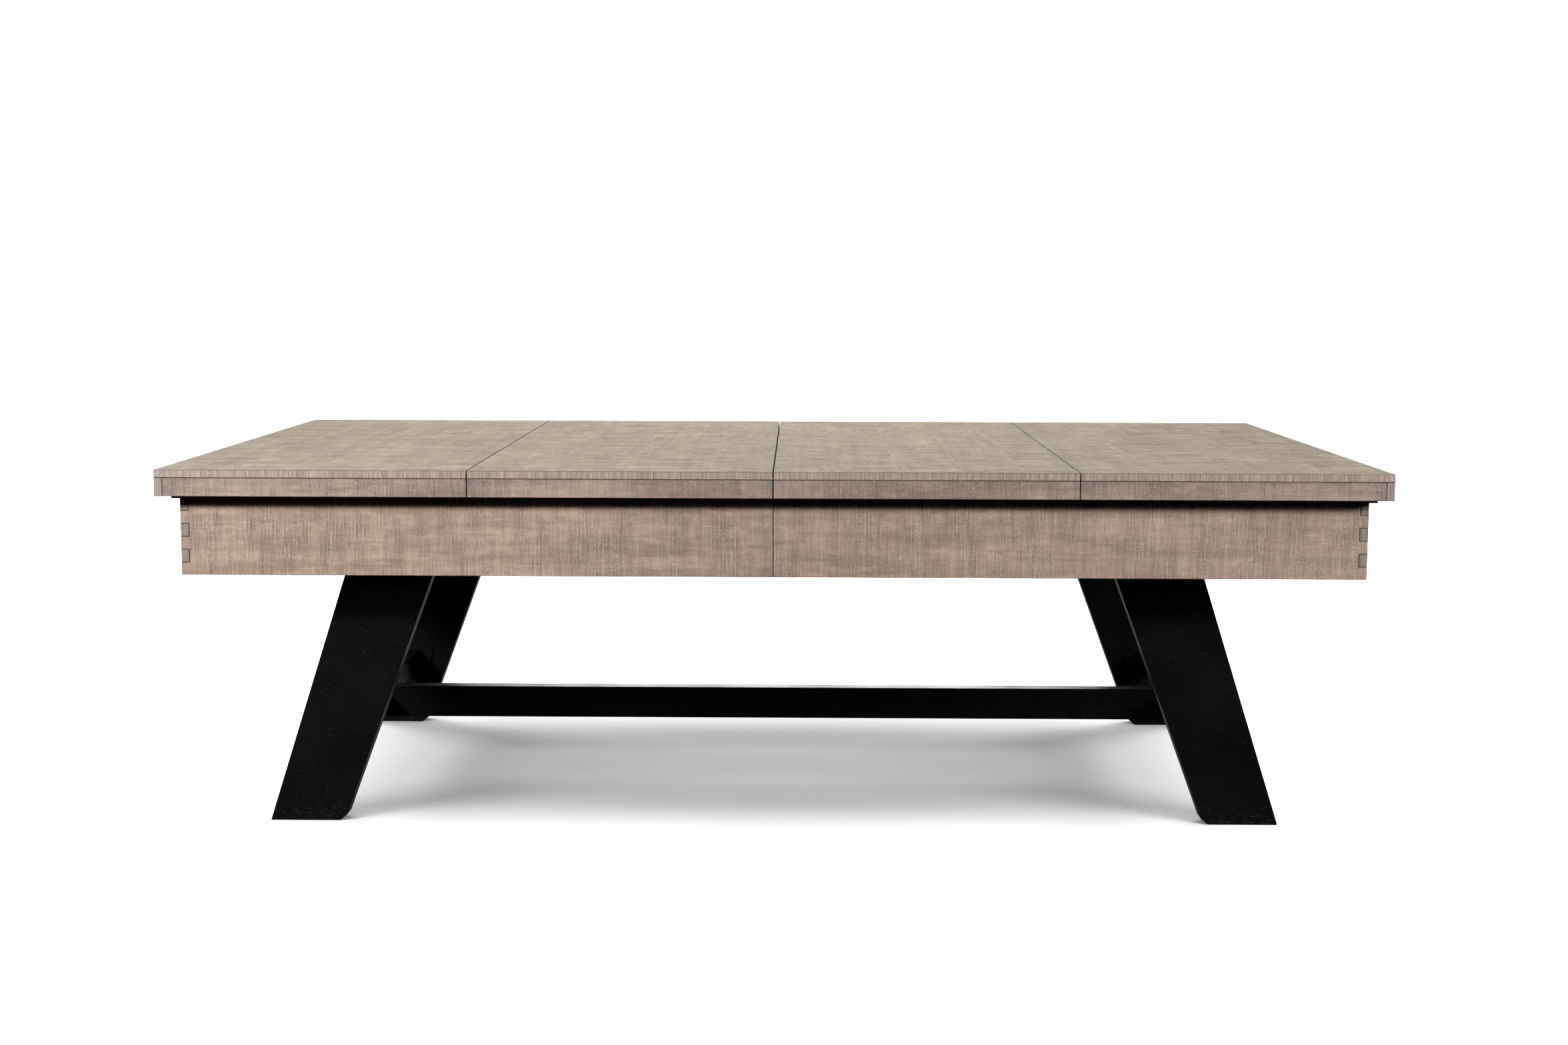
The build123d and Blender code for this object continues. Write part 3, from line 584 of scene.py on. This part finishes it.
def powder_coat(name):
    """Black satin powder coat: orange peel, a little dust, scuffs low on the legs."""
    g = Graph(name)
    place = g.place()
    peel = g.noise(place, (700, 700, 700), detail=2.0)
    cloud = g.noise(place, (6, 6, 6), detail=3.0)
    dust = g.span(g.noise(place, (260, 260, 260), detail=0.0), 0.76, 0.8)
    scratch = g.noise(place, (90, 90, 900), detail=1.0)
    level = g.add("ShaderNodeSeparateXYZ", {"Vector": place}).outputs["Z"]
    low = g.span(level, 0.06, 0.0)
    scuff = g.math("MULTIPLY", low, g.span(scratch, 0.6, 0.7))
    colour = g.mix(g.span(cloud, 0.3, 0.7), (0.0018, 0.0018, 0.0019), (0.003, 0.003, 0.0031))
    colour = g.mix(g.math("MULTIPLY", dust, 0.35), colour, (0.09, 0.085, 0.08))
    colour = g.mix(g.math("MULTIPLY", scuff, 0.35), colour, (0.07, 0.068, 0.065))
    roughness = g.math("MULTIPLY_ADD", scuff, 0.2, g.span(cloud, 0.3, 0.7, 0.44, 0.52))
    return g.finish(colour, roughness, peel, 0.00006, Specular_IOR_Level=0.09)


def black_oxide(name):
    """Black fasteners with lighter rubbed patches."""
    g = Graph(name)
    place = g.place()
    rub = g.noise(place, (220, 220, 220), detail=3.0)
    colour = g.mix(g.span(rub, 0.5, 0.75), (0.022, 0.022, 0.024), (0.09, 0.088, 0.085))
    return g.finish(colour, g.span(rub, 0.3, 0.7, 0.42, 0.3), rub, 0.0001, Metallic=0.7)


def honed_slate(name):
    """Grey slate with faint clouds, specks and grinding lines."""
    g = Graph(name)
    place = g.place()
    cloud = g.noise(place, (5, 9, 9), detail=5.0, roughness=0.6)
    grit = g.noise(place, (900, 900, 900), detail=1.0)
    lines = g.noise(place, (4, 340, 40), detail=2.0)
    colour = g.mix(g.span(cloud, 0.35, 0.65), (0.11, 0.118, 0.128), (0.2, 0.21, 0.22))
    colour = g.mix(g.span(grit, 0.6, 0.75, 0.0, 0.5), colour, (0.32, 0.33, 0.33))
    height = g.math("MULTIPLY_ADD", grit, 0.4, lines)
    return g.finish(colour, g.span(cloud, 0.3, 0.7, 0.5, 0.66), height, 0.0002)


def worsted(name, shade, light):
    """Napless billiard cloth: a fine twill with slightly uneven dye."""
    g = Graph(name)
    place = g.place()
    turn = g.add("ShaderNodeMapping", {"Vector": place, "Rotation": (0, 0, math.radians(28))})
    turned = turn.outputs["Vector"]
    twill = g.noise(turned, (2600, 480, 1500), detail=1.0)
    cross = g.noise(turned, (440, 2300, 1500), detail=1.0)
    cloud = g.noise(place, (4, 7, 7), detail=4.0)
    weave = g.math("ADD", twill, cross)
    colour = g.mix(g.span(weave, 0.8, 1.2), shade, light)
    faded = tuple(1.35 * c for c in light)
    colour = g.mix(g.span(cloud, 0.5, 0.8, 0.0, 0.3), colour, faded)
    roughness = g.span(weave, 0.8, 1.2, 0.92, 0.82)
    plain = {"Sheen_Weight": 0.06, "Sheen_Roughness": 0.4, "Specular_IOR_Level": 0.1}
    return g.finish(colour, roughness, weave, 0.0002, **plain)


def felt(name):
    """Black felt pads with loose fibres."""
    g = Graph(name)
    place = g.place()
    fibre = g.noise(place, (700, 700, 700), detail=4.0, roughness=0.7, distortion=2.0)
    colour = g.mix(g.span(fibre, 0.4, 0.7), (0.016, 0.016, 0.017), (0.055, 0.053, 0.05))
    roughness = g.span(fibre, 0.3, 0.7, 0.95, 0.85)
    return g.finish(colour, roughness, fibre, 0.0008, Sheen_Weight=0.3, Specular_IOR_Level=0.1)


def moulded_rubber(name):
    """Black moulded rubber with a leather-like grain."""
    g = Graph(name)
    place = g.place()
    cells = g.add("ShaderNodeTexVoronoi", {"Vector": place, "Scale": 420.0})
    crease = g.span(cells.outputs["Distance"], 0.1, 0.6)
    dust = g.noise(place, (30, 30, 30), detail=4.0)
    colour = g.mix(g.span(dust, 0.45, 0.75), (0.014, 0.014, 0.014), (0.035, 0.034, 0.033))
    roughness = g.math("MULTIPLY_ADD", crease, 0.12, g.span(dust, 0.3, 0.7, 0.5, 0.62))
    return g.finish(colour, roughness, crease, 0.00025, Specular_IOR_Level=0.45)


def brushed_metal(name):
    """Brushed nickel inlays."""
    g = Graph(name)
    place = g.place()
    brush = g.noise(place, (60, 2400, 400), detail=2.0)
    colour = g.mix(g.span(brush, 0.3, 0.7), (0.56, 0.54, 0.5), (0.72, 0.7, 0.66))
    return g.finish(colour, g.span(brush, 0.3, 0.7, 0.3, 0.45), brush, 0.00005, Metallic=0.3)


# Dining top ----------------------------------------------------------------------------------


def section_numbers():
    """The dining sections, counted from the left end."""
    return sorted(PLANK_SHARES)


def rub_near_ends(points, low, high):
    """Where hands have burnished a board: 1 at its two X ends, falling off inwards."""
    reach = np.minimum(points[:, X] - low, high - points[:, X])
    return np.clip(1 - reach / RUB_REACH, 0, 1)


def plank_board(number):
    """One section's board: planks glued side by side, with a shallow groove at each joint."""
    low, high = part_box(f"section_{number}_board")
    shares = np.cumsum((0,) + PLANK_SHARES[number]) / sum(PLANK_SHARES[number])
    edges = low.x + shares * (high.x - low.x)
    joints = edges[1:-1]
    lines = [cuts(low.x, high.x, PLANK_STEP, SEAM_EASE)]
    for joint in joints:
        lines[0] = lines[0][np.abs(lines[0] - joint) > 2 * GROOVE_HALF_WIDTH]
        lines.append(joint + np.array((-1, 0, 1)) * GROOVE_HALF_WIDTH)
    xs = np.sort(np.concatenate(lines))
    ys = cuts(low.y, high.y, SAW_STEP, BOARD_EASE)
    zs = cuts(low.z, high.z, COARSE_STEP, BOARD_EASE)
    board = Solid(xs, ys, zs)
    at_joint = np.min(np.abs(board.points[:, X][:, None] - joints[None]), 1) < SAME_PLACE
    board.paint("joint", at_joint)
    board.paint("rub", BOARD_RUB * rub_near_ends(board.points, low.x, high.x))
    plank = np.searchsorted(joints, board.middles()[:, X])
    board.paint_faces("plank", number + plank / 7)
    board.saw(Y, number)
    board.points += board.inward * (at_joint * GROOVE_DEPTH)[:, None]
    return board.ease(BOARD_EASE)


def skirt_solid(low, high, grain, seed):
    """A skirt board with saw marks down its faces."""
    skirt = box_solid(low, high, grain, SEAM_EASE if grain == X else BOARD_EASE)
    plain = np.zeros(len(skirt.points))
    skirt.paint("joint", plain)
    skirt.paint("rub", rub_near_ends(skirt.points, low[X], high[X]) if grain == X else plain)
    skirt.paint_faces("plank", seed / 9)
    return skirt.saw(grain, seed).ease(BOARD_EASE)


def side_skirts(number):
    """The front and rear skirt of a section."""
    low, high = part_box(f"section_{number}_side_skirts")
    inner = SKIRT_THICKNESS
    front = skirt_solid(low, (high.x, low.y + inner, high.z), X, FRONT_SKIRT_SEED + number)
    rear = skirt_solid((low.x, high.y - inner, low.z), high, X, REAR_SKIRT_SEED + number)
    return [front, rear]


def make_dining_top(along_x, along_y, top):
    """The four sections: a board of planks, two side skirts, and an end skirt at each end."""
    for number in section_numbers():
        section = f"section_{number}"
        board = join(f"{section}_planks", [plank_board(number)])
        stand_in(board, f"{section}_board", top)
        skirts = join(f"{section}_skirt_boards", side_skirts(number))
        stand_in(skirts, f"{section}_side_skirts", along_x)
        if number in (min(PLANK_SHARES), max(PLANK_SHARES)):
            low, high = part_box(f"{section}_end_skirt")
            skirt = skirt_solid(low, high, Y, END_SKIRT_SEED + number)
            end = join(f"{section}_end_skirt_board", [skirt])
            stand_in(end, f"{section}_end_skirt", along_y)


# Cabinet -------------------------------------------------------------------------------------


def finger_lines(low, high, steps, ease):
    """Heights of the lattice: each finger's two ends, with a line just inside each."""
    edges = np.linspace(low, high, FINGER_COUNT + 1)
    lines = []
    for bottom, top in zip(edges[:-1], edges[1:]):
        lines.append(np.linspace(bottom + ease, top - ease, steps))
    return np.sort(np.concatenate([edges, *lines])), edges


def fingered_board(low, high, grain, ends, first, seed):
    """A cabinet board whose named ends are cut into fingers, every second level kept."""
    lines = [None, None, None]
    lines[Z], levels = finger_lines(low[Z], high[Z], 3, BOARD_EASE)
    thin = Y if grain == X else X
    lines[thin] = cuts(low[thin], high[thin], APRON_THICKNESS, BOARD_EASE)
    along = cuts(low[grain], high[grain], SAW_STEP, BOARD_EASE)
    roots = [low[grain] + APRON_THICKNESS, high[grain] - APRON_THICKNESS]
    for root in roots:
        along = along[np.abs(along - root) > 2 * BOARD_EASE]
        along = np.append(along, root + np.array((-1, 0, 1)) * BOARD_EASE)
    lines[grain] = np.sort(along)
    mid = [(axis[1:] + axis[:-1]) / 2 for axis in lines]
    level = np.searchsorted(levels, mid[Z]) - 1
    gone = np.isin(level, range(1 - first, FINGER_COUNT, 2))
    reach = np.zeros(len(mid[grain]), bool)
    if -1 in ends:
        reach |= mid[grain] < roots[0]
    if 1 in ends:
        reach |= mid[grain] > roots[1]
    filled = np.ones([len(axis) for axis in mid], bool)
    cut = np.ix_(reach, range(filled.shape[thin]), gone)
    if grain == Y:
        cut = np.ix_(range(filled.shape[thin]), reach, gone)
    filled[cut] = False
    board = Solid(*lines, filled)
    plain = np.zeros(len(board.points))
    rub = APRON_RUB * rub_near_ends(board.points, low[X], high[X])
    board.paint("joint", plain)
    board.paint("rub", rub if grain == X else plain)
    board.paint_faces("plank", seed / 11)
    return board.saw(grain, seed).ease(BOARD_EASE)


def make_cabinet(along_x, along_y):
    """The six boards round the table, finger-jointed at its corners."""
    seed = APRON_SEED
    for end_name, end in (("left", -1), ("right", 1)):
        for side in ("front", "rear"):
            node = f"apron_{side}_{end_name}"
            low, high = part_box(node)
            seed += 1
            board = fingered_board(low, high, X, (end,), 0, seed)
            stand_in(join(f"{node}_board", [board]), node, along_x)
        node = f"apron_end_{end_name}"
        low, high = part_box(node)
        seed += 1
        board = fingered_board(low, high, Y, (-1, 1), 1, seed)
        stand_in(join(f"{node}_board", [board]), node, along_y)


# Soft parts ----------------------------------------------------------------------------------


def from_cad(name, node, *modifiers):
    """A new mesh made from a CAD node's shape by a stack of modifiers."""
    piece = bpy.data.objects.new(name, frame["nodes"][node].data.copy())
    bpy.context.scene.collection.objects.link(piece)
    for kind, settings in modifiers:
        modifier = piece.modifiers.new(kind.lower(), kind)
        for key, value in settings.items():
            setattr(modifier, key, value)
    graph = bpy.context.evaluated_depsgraph_get()
    mesh = bpy.data.meshes.new_from_object(piece.evaluated_get(graph))
    piece.modifiers.clear()
    piece.data = mesh
    piece.data.name = name
    return piece


def make_cushions(material):
    """Cloth-covered rubber cushions: the CAD profile, softened all over."""
    for node in sorted(n for n in frame["nodes"] if n.startswith("cushion_")):
        piece = from_cad(
            f"{node}_cover",
            node,
            ("WELD", {"merge_threshold": WELD_DISTANCE}),
            ("REMESH", {"mode": "VOXEL", "voxel_size": CUSHION_VOXEL}),
            ("SMOOTH", {"factor": 0.5, "iterations": CUSHION_SMOOTHING}),
        )
        piece.data.polygons.foreach_set("use_smooth", [True] * len(piece.data.polygons))
        stand_in(piece, node, material)


def make_felts(material):
    """Felt strips under each section, that rest on the rails."""
    for number in section_numbers():
        node = f"section_{number}_felts"
        piece = from_cad(
            f"section_{number}_felt_strips",
            node,
            ("WELD", {"merge_threshold": WELD_DISTANCE}),
            ("BEVEL", {"width": FELT_EASE, "segments": 3, "limit_method": "ANGLE"}),
        )
        stand_in(piece, node, material)


def pocket_middles():
    """The plan middle of each pocket."""
    places = {}
    for node in frame["nodes"]:
        if node.startswith("pocket_"):
            low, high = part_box(node)
            places[node] = (low + high) / 2
    return places


def make_bed_cloth(material):
    """The bed cloth: one thin sheet, stretched over the slates and cut round the pockets."""
    low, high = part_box("bed_cloth")
    xs = cuts(low.x, high.x, CLOTH_STEP, CLOTH_EASE)
    ys = cuts(low.y, high.y, CLOTH_STEP, CLOTH_EASE)
    middle = np.stack(np.meshgrid((xs[1:] + xs[:-1]) / 2, (ys[1:] + ys[:-1]) / 2, indexing="ij"), 2)
    filled = np.ones(middle.shape[:2], bool)
    centres = [np.array((p.x, p.y)) for p in pocket_middles().values()]
    for centre in centres:
        filled &= np.linalg.norm(middle - centre, axis=2) > POCKET_CUT_RADIUS
    sheet = Solid(xs, ys, (low.z, high.z), filled[:, :, None])
    plan = sheet.points[:, :2]
    for centre in centres:
        away = plan - centre
        distance = np.linalg.norm(away, axis=1)
        near = (sheet.edge > 0) & (distance < POCKET_CUT_RADIUS + CLOTH_STEP)
        inside = (plan[:, 0] > low.x) & (plan[:, 0] < high.x)
        near &= inside & (plan[:, 1] > low.y) & (plan[:, 1] < high.y)
        snapped = centre + away / np.maximum(distance, 1e-9)[:, None] * POCKET_CUT_RADIUS
        plan[near] = snapped[near]
    piece = join("bed_cloth_sheet", [sheet])
    stand_in(piece, "bed_cloth", material)


# CAD nodes that keep their shape -------------------------------------------------------------


def dress(node, material, bevel):
    """Gives a CAD node its finish and eases its sharp edges."""
    thing = frame["nodes"][node]
    thing.data.materials.clear()
    thing.data.materials.append(material)
    weld = thing.modifiers.new("weld", "WELD")
    weld.merge_threshold = WELD_DISTANCE
    ease = thing.modifiers.new("ease", "BEVEL")
    ease.width = bevel
    ease.segments = EASE_SEGMENTS
    ease.limit_method = "ANGLE"
    ease.angle_limit = math.radians(EASE_ANGLE)
    ease.use_clamp_overlap = True


def dress_all(prefixes, material, bevel):
    """Dresses every CAD node whose name starts with a prefix."""
    for node in sorted(frame["nodes"]):
        if node.startswith(prefixes):
            dress(node, material, bevel)


# Studio --------------------------------------------------------------------------------------


def make_camera():
    """The camera that took the photograph, as fitted to the table's corners."""
    data = bpy.data.cameras.new("camera")
    data.lens = CAMERA_LENS
    data.sensor_width = CAMERA_SENSOR
    data.clip_end = 4 * DOME_RADIUS
    camera = bpy.data.objects.new("camera", data)
    turn = Matrix.Rotation(math.radians(CAMERA_YAW), 4, "Z")
    turn @= Matrix.Rotation(math.radians(90 - CAMERA_PITCH), 4, "X")
    turn @= Matrix.Rotation(math.radians(CAMERA_ROLL), 4, "Z")
    camera.matrix_world = Matrix.Translation(CAMERA_PLACE) @ turn
    bpy.context.scene.collection.objects.link(camera)
    bpy.context.scene.camera = camera


def seen_by_camera_only(thing):
    """The floor and backdrop light nothing, as in a studio with flags round the set."""
    thing.visible_diffuse = False
    thing.visible_glossy = False
    thing.visible_transmission = False
    thing.visible_shadow = False


def make_stage():
    """A pale floor that catches a soft shadow, and a white dome behind it."""
    shape = bmesh.new()
    bmesh.ops.create_grid(shape, x_segments=2, y_segments=2, size=FLOOR_SIZE / 2)
    mesh = bpy.data.meshes.new("floor")
    shape.to_mesh(mesh)
    shape.free()
    floor = bpy.data.objects.new("floor", mesh)
    floor.location.z = -FLOOR_DROP
    material = bpy.data.materials.new("floor")
    material.use_nodes = True
    shader = material.node_tree.nodes["Principled BSDF"]
    shader.inputs["Base Color"].default_value = FLOOR_COLOUR
    shader.inputs["Roughness"].default_value = 1.0
    shader.inputs["Specular IOR Level"].default_value = 0.0
    shader.inputs["Emission Color"].default_value = (1, 1, 1, 1)
    shader.inputs["Emission Strength"].default_value = FLOOR_GLOW
    mesh.materials.append(material)

    shape = bmesh.new()
    bmesh.ops.create_uvsphere(shape, u_segments=48, v_segments=24, radius=DOME_RADIUS)
    mesh = bpy.data.meshes.new("dome")
    shape.to_mesh(mesh)
    shape.free()
    dome = bpy.data.objects.new("dome", mesh)
    material = bpy.data.materials.new("dome")
    material.use_nodes = True
    nodes = material.node_tree.nodes
    light = nodes.new("ShaderNodeEmission")
    light.inputs["Strength"].default_value = DOME_GLOW
    material.node_tree.links.new(light.outputs[0], nodes["Material Output"].inputs["Surface"])
    mesh.materials.append(material)
    for thing in (floor, dome):
        bpy.context.scene.collection.objects.link(thing)
        seen_by_camera_only(thing)
    return floor


def light_group(name, things, state):
    """A collection that a light reads: it lights only these things, or all but these."""
    group = bpy.data.collections.new(name)
    for thing in things:
        group.objects.link(thing)
    for entry in group.collection_objects:
        entry.light_linking.link_state = state
    return group


def soft_box(name, direction, distance, size, power, group, glossy=True, tint=(1.0, 1.0, 1.0)):
    """A soft box: direction is its azimuth from the front and its height, in degrees."""
    azimuth, height = (math.radians(a) for a in direction)
    away = Vector((math.sin(azimuth), -math.cos(azimuth), math.tan(height))).normalized()
    data = bpy.data.lights.new(name, "AREA")
    data.shape = "RECTANGLE"
    data.size, data.size_y = size
    data.energy = power
    data.color = tint
    lamp = bpy.data.objects.new(name, data)
    aim = Vector((0, 0, AIM_HEIGHT))
    lamp.location = aim + away * distance
    lamp.rotation_euler = away.to_track_quat("Z", "Y").to_euler()
    lamp.visible_camera = False
    lamp.visible_glossy = glossy
    lamp.light_linking.receiver_collection = group
    bpy.context.scene.collection.objects.link(lamp)


def make_lights(floor):
    """Soft boxes on the table, a few on its black steel alone, and separate ones on the floor."""
    object_only = light_group("lit_by_soft_boxes", [floor], "EXCLUDE")
    floor_only = light_group("lit_from_above", [floor], "INCLUDE")
    steel_names = sorted(node for node in frame["nodes"] if node.startswith(STEEL_NODES))
    steel_only = light_group("lit_steel", [frame["nodes"][node] for node in steel_names], "INCLUDE")
    soft_box("key", (-42, 23.5), 5.2, (1.1, 0.6), 312, object_only)
    soft_box("fill", (48, 20), 4.8, (1.2, 0.6), 38, object_only)
    soft_box("side_fill", (62, 14), 4.4, (1.2, 0.6), 104, object_only)
    soft_box("low", (-14, 13), 5.6, (0.8, 0.6), 26, steel_only)
    soft_box("behind_high", (180, 7), 6.0, (3.0, 1.6), 240, steel_only)
    soft_box("behind_low", (180, -19), 6.0, (3.0, 1.6), 10, steel_only, tint=(1.0, 0.9, 0.72))
    soft_box("overhead", (0, 86), 3.2, (3.4, 2.2), 38, object_only)
    soft_box("left", (-96, 13), 5.5, (1.6, 1.2), 50, object_only)
    soft_box("right", (98, 13), 5.5, (1.6, 1.2), 30, object_only)
    soft_box("back", (172, 13), 6.0, (2.4, 1.2), 150, object_only, glossy=False)
    soft_box("back_high", (190, 42), 3.8, (1.8, 1.0), 120, object_only, glossy=False)
    # Four lamps reach in under the table, so its shadow is darkest behind the legs
    for azimuth in (-128, -52, 52, 128):
        soft_box(f"floor_{azimuth}", (azimuth, 11), 4.0, (1.5, 0.9), 62, floor_only)
    # Two broad suns light the floor from above: their strength, and their width in degrees
    for name, energy, angle in (("floor_light", 4.5, 62), ("floor_sky", 2.5, 178)):
        data = bpy.data.lights.new(name, "SUN")
        data.energy = energy
        data.angle = math.radians(angle)
        lamp = bpy.data.objects.new(name, data)
        lamp.light_linking.receiver_collection = floor_only
        bpy.context.scene.collection.objects.link(lamp)


def make_world():
    """A dim even room, darker below the horizon than above it."""
    world = bpy.data.worlds.new("room")
    world.use_nodes = True
    nodes, links = world.node_tree.nodes, world.node_tree.links
    place = nodes.new("ShaderNodeTexCoord")
    split = nodes.new("ShaderNodeSeparateXYZ")
    ramp = nodes.new("ShaderNodeMapRange")
    ramp.inputs["From Min"].default_value = -HORIZON
    ramp.inputs["From Max"].default_value = HORIZON
    ramp.inputs["To Min"].default_value = WORLD_BELOW
    ramp.inputs["To Max"].default_value = WORLD_ABOVE
    links.new(place.outputs["Generated"], split.inputs["Vector"])
    links.new(split.outputs["Z"], ramp.inputs["Value"])
    links.new(ramp.outputs["Result"], nodes["Background"].inputs["Strength"])
    bpy.context.scene.world = world


# The whole model -----------------------------------------------------------------------------


def main():
    make_camera()
    floor = make_stage()
    make_lights(floor)
    make_world()
    bpy.context.scene.view_settings.view_transform = "Standard"

    top = sawn_wood("dining_top_wood", Y, X, TOP_TONES, X, 0.62, 1.0)
    skirt_x = sawn_wood("skirt_wood_x", X, Z, SKIRT_TONES, Y)
    skirt_y = sawn_wood("skirt_wood_y", Y, Z, SKIRT_TONES, X)
    make_dining_top(skirt_x, skirt_y, top)
    apron_x = sawn_wood("apron_wood_x", X, Z, APRON_TONES, Y)
    apron_y = sawn_wood("apron_wood_y", Y, Z, APRON_TONES, X)
    make_cabinet(apron_x, apron_y)
    make_cushions(worsted("cushion_cloth", CLOTH_SHADE, CLOTH_LIGHT))
    make_felts(felt("felt"))
    make_bed_cloth(worsted("bed_cloth", CLOTH_SHADE, CLOTH_LIGHT))

    front_low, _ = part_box("cushion_front_left")
    end_low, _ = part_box("cushion_end_left")
    rail_x = sanded_wood("rail_wood_x", X, APRON_TONES, WRAP - front_low.y, front_low.z)
    rail_y = sanded_wood("rail_wood_y", Y, APRON_TONES, WRAP - end_low.x, end_low.z)
    dress_all(("rail_front", "rail_rear"), rail_x, RAIL_EASE)
    dress_all("rail_end", rail_y, RAIL_EASE)
    dress_all("rail_sights", brushed_metal("brushed_nickel"), SIGHT_EASE)
    dress_all(STEEL_NODES, powder_coat("black_powder_coat"), STEEL_EASE)
    dress_all(("base_bolts", "rail_bolts", "slate_screws"), black_oxide("black_oxide"), FASTENER_EASE)
    dress_all(SLATE_NODES, honed_slate("honed_slate"), SLATE_EASE)
    dress_all("pocket_", moulded_rubber("moulded_rubber"), POCKET_EASE)
    pine_x = softwood("pine_x", X)
    dress_all("long_beams", pine_x, TIMBER_EASE)
    dress_all("cross_beams", softwood("pine_y", Y), TIMBER_EASE)
    dress_all("corner_blocks", softwood("pine_z", Z), TIMBER_EASE)
    for number in section_numbers():
        dress(f"section_{number}_battens", pine_x, TIMBER_EASE)


main()
